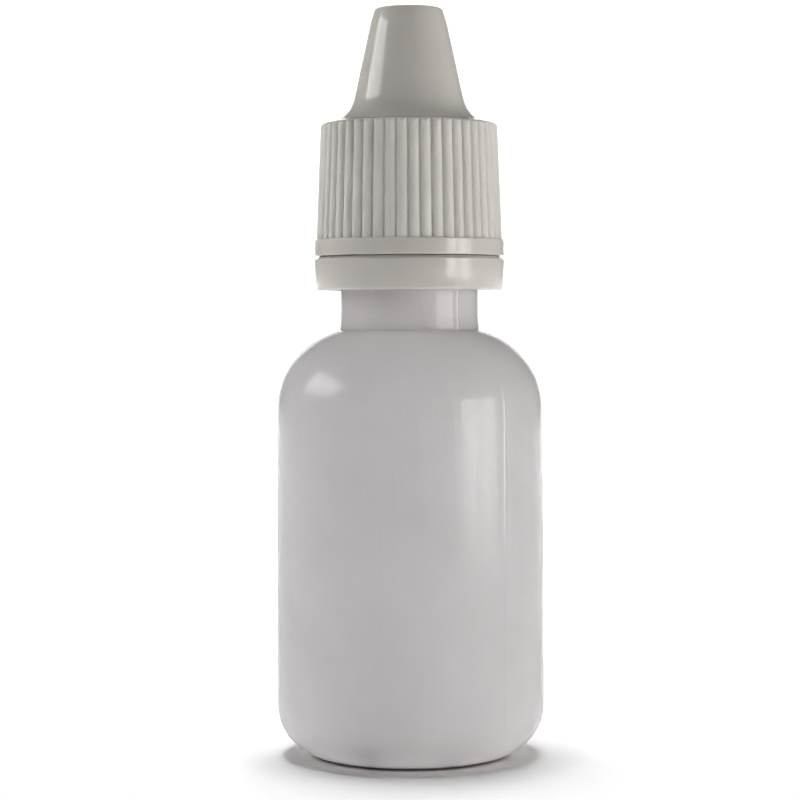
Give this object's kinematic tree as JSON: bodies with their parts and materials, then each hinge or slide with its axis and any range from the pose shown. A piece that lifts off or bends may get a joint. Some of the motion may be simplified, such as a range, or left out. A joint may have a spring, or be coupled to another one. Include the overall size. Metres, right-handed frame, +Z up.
{
  "type": "dropper bottle",
  "caption": "Small round squeeze bottle with a press-in dropper tip and a ribbed screw cap that has a conical nozzle cover and a tamper-evident ring.",
  "frame": {"origin": "centre of the base, on the surface that the bottle stands on", "axes": "+Z up along the bottle's axis, towards the cap; -Y is the front; both threads start on +X"},
  "size_m": [0.0254, 0.0254, 0.0716],
  "materials": {
    "bottle_ldpe": "satin",
    "tip_ldpe": "satin",
    "closure_white": "satin"
  },
  "bodies": {
    "bottle": {"bottle": "bottle_ldpe", "dropper_tip": "tip_ldpe"},
    "ring": {"tamper_ring": "closure_white", "tamper_bridges": "closure_white"},
    "cap": {"screw_cap": "closure_white"}
  },
  "joints": [
    {"name": "cap_unscrew", "type": "hinge", "parent": "bottle", "child": "ring", "pos_m": [0, 0, 0.046], "axis": [0, 0, 1], "range_deg": [0, 3640]},
    {"name": "cap_rise", "type": "slide", "parent": "ring", "child": "cap", "axis": [0, 0, 1], "range_m": [0, 0.025]}
  ],
  "couplings": [
    {"joint": "cap_unscrew", "follows": "cap_rise", "rad_per_m": 2513.3}
  ]
}
